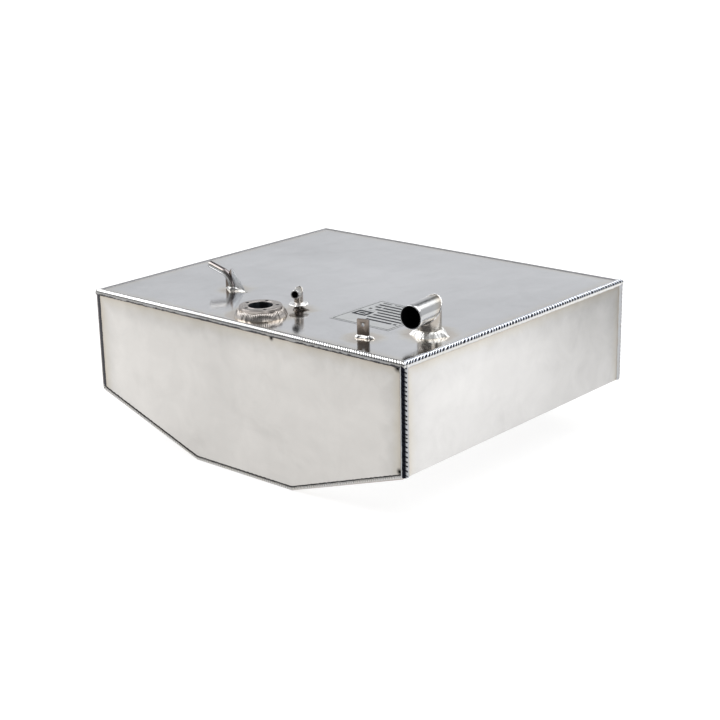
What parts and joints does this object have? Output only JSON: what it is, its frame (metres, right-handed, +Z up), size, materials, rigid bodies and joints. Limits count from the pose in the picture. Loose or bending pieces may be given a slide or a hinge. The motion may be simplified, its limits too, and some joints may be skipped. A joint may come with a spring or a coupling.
{
  "type": "fresh water tank",
  "caption": "Welded sheet-steel water tank with a keel-shaped bottom and, on its flat top, a filler elbow, level-sender flange, vent elbow, supply tube and earth tab.",
  "frame": {"origin": "centre of the underside of the whole object's box, on the flat strip that the tank stands on", "axes": "+X along the wide side, +Z up; the end nearest the fittings faces -Y"},
  "size_m": [0.6842, 0.5892, 0.3148],
  "materials": {
    "sheet": "smooth cold-rolled sheet with a soft, cloudy shine",
    "top_sheet": "smooth cold-rolled sheet that mirrors the fittings softly",
    "weld": "bright rippled weld metal with straw and bronze heat tint",
    "polished_tube": "polished drawn tube",
    "turned_ring": "turned, with fine rings",
    "cut_plate": "cut plate, tinted by the heat of the weld",
    "label": "silver-grey film with plain printed rules and blocks"
  },
  "bodies": {
    "root": {"wrapper": "sheet", "front_end_plate": "sheet", "rear_end_plate": "sheet", "left_baffle": "sheet", "right_baffle": "sheet", "top_plate": "top_sheet", "left_baffle_welds": "weld", "right_baffle_welds": "weld", "top_weld_front": "weld", "top_weld_rear": "weld", "top_weld_left": "weld", "top_weld_right": "weld", "corner_weld_front_left": "weld", "corner_weld_front_right": "weld", "corner_weld_rear_left": "weld", "corner_weld_rear_right": "weld", "seam_weld_front": "weld", "seam_weld_rear": "weld", "filler_mitre_weld": "weld", "filler_base_weld": "weld", "sender_flange_weld": "weld", "vent_mitre_weld": "weld", "vent_base_weld": "weld", "supply_base_weld": "weld", "earth_tab_weld": "weld", "filler_stub": "polished_tube", "filler_neck": "polished_tube", "vent_riser": "polished_tube", "vent_snout": "polished_tube", "vent_collar": "polished_tube", "supply_tube": "polished_tube", "sender_flange": "turned_ring", "supply_gusset": "cut_plate", "earth_tab": "cut_plate", "label_plate": "label"}
  },
  "joints": []
}
